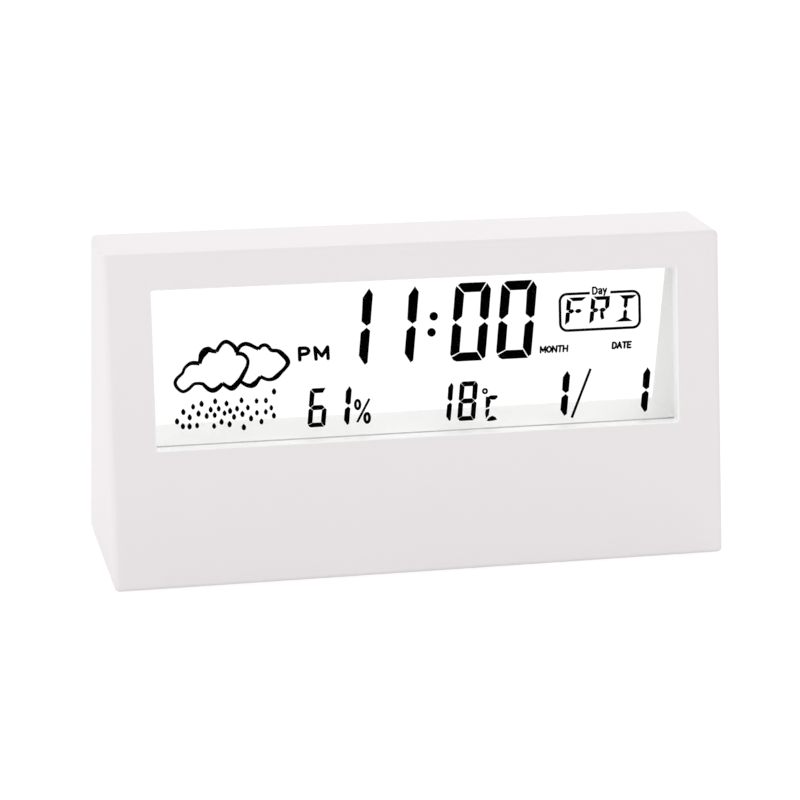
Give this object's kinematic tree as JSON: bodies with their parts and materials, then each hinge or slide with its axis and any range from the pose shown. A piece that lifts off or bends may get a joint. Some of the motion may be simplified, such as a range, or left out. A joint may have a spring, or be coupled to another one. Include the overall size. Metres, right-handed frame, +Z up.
{
  "type": "thermometer hygrometer clock",
  "caption": "Wedge-shaped desk clock with a see-through LCD for time, date, temperature and humidity, buttons on the back and a sliding battery door underneath.",
  "frame": {"origin": "middle of the whole part at the surface that its feet stand on", "axes": "+X to the right as seen from the front, -Y out of the display, +Z up"},
  "size_m": [0.133, 0.0447, 0.0702],
  "materials": {
    "white_shell": "fine satin white ABS",
    "white_inner": "matte white ABS",
    "clear_window": "clear acrylic sheet",
    "lcd_glass": "clear float glass",
    "polarizer": "clear polarizing film",
    "lcd_segments": "liquid crystal with its dark segments",
    "edge_seal": "cured epoxy seal",
    "tape": "double-sided tape",
    "elastomer": "silicone with carbon layers",
    "circuit_board": "green solder mask",
    "black_epoxy": "black epoxy blob",
    "bright_metal": "nickel-plated steel",
    "spring_steel": "nickel-plated spring wire",
    "screw_steel": "zinc-plated steel",
    "chip_ceramic": "tan ceramic chip",
    "foot_rubber": "soft black rubber",
    "switch_body": "black switch housing",
    "switch_plunger": "black switch plunger",
    "button_plastic": "white ABS button",
    "sensor_blue": "humidity sensor substrate",
    "bead_epoxy": "thermistor bead",
    "ribbon_grey": "grey ribbon cable",
    "buzzer_brass": "brass plate",
    "buzzer_ceramic": "silvered ceramic disc",
    "cell_jacket": "plain printed cell jacket",
    "red_wire": "red insulation",
    "black_wire": "black insulation"
  },
  "bodies": {
    "case": {"front_case": "white_shell", "rear_cover": "white_shell", "base_tray": "white_shell", "display_tunnel": "white_inner", "window_tape": "tape", "display_window": "clear_window", "lcd_front_polarizer": "polarizer", "lcd_front_glass": "lcd_glass", "lcd_crystal_layer": "lcd_segments", "lcd_edge_seal": "edge_seal", "lcd_rear_glass": "lcd_glass", "lcd_rear_polarizer": "polarizer", "elastomer_connector": "elastomer", "main_board": "circuit_board", "chip_blob": "black_epoxy", "watch_crystal": "bright_metal", "chip_capacitors": "chip_ceramic", "board_screws": "screw_steel", "tunnel_screws": "screw_steel", "cover_screws": "screw_steel", "base_screws": "screw_steel", "rubber_feet": "foot_rubber", "key_board": "circuit_board", "key_switches": "switch_body", "key_board_screws": "screw_steel", "humidity_sensor": "sensor_blue", "thermistor": "bead_epoxy", "ribbon_cable": "ribbon_grey", "buzzer_plate": "buzzer_brass", "buzzer_disc": "buzzer_ceramic", "front_cell": "cell_jacket", "rear_cell": "cell_jacket", "positive_contact": "bright_metal", "negative_contact": "bright_metal", "bridge_contact": "bright_metal", "negative_spring": "spring_steel", "bridge_spring": "spring_steel", "red_lead": "red_wire", "black_lead": "black_wire", "buzzer_plate_lead": "black_wire", "buzzer_disc_lead": "red_wire"},
    "battery_door": {"battery_door": "white_shell"},
    "mode_key": {"mode_button": "button_plastic", "mode_plunger": "switch_plunger"},
    "set_key": {"set_button": "button_plastic", "set_plunger": "switch_plunger"},
    "up_key": {"up_button": "button_plastic", "up_plunger": "switch_plunger"},
    "down_key": {"down_button": "button_plastic", "down_plunger": "switch_plunger"}
  },
  "joints": [
    {"name": "mode_press", "type": "slide", "parent": "case", "child": "mode_key", "axis": [0, -0.9837, -0.1799], "range_m": [0, 0.0005], "stiffness_N_per_m": 600},
    {"name": "set_press", "type": "slide", "parent": "case", "child": "set_key", "axis": [0, -0.9837, -0.1799], "range_m": [0, 0.0005], "stiffness_N_per_m": 600},
    {"name": "up_press", "type": "slide", "parent": "case", "child": "up_key", "axis": [0, -0.9837, -0.1799], "range_m": [0, 0.0005], "stiffness_N_per_m": 600},
    {"name": "down_press", "type": "slide", "parent": "case", "child": "down_key", "axis": [0, -0.9837, -0.1799], "range_m": [0, 0.0005], "stiffness_N_per_m": 600},
    {"name": "door_slide", "type": "slide", "parent": "case", "child": "battery_door", "axis": [0, 1, 0], "range_m": [0, 0.026]}
  ]
}
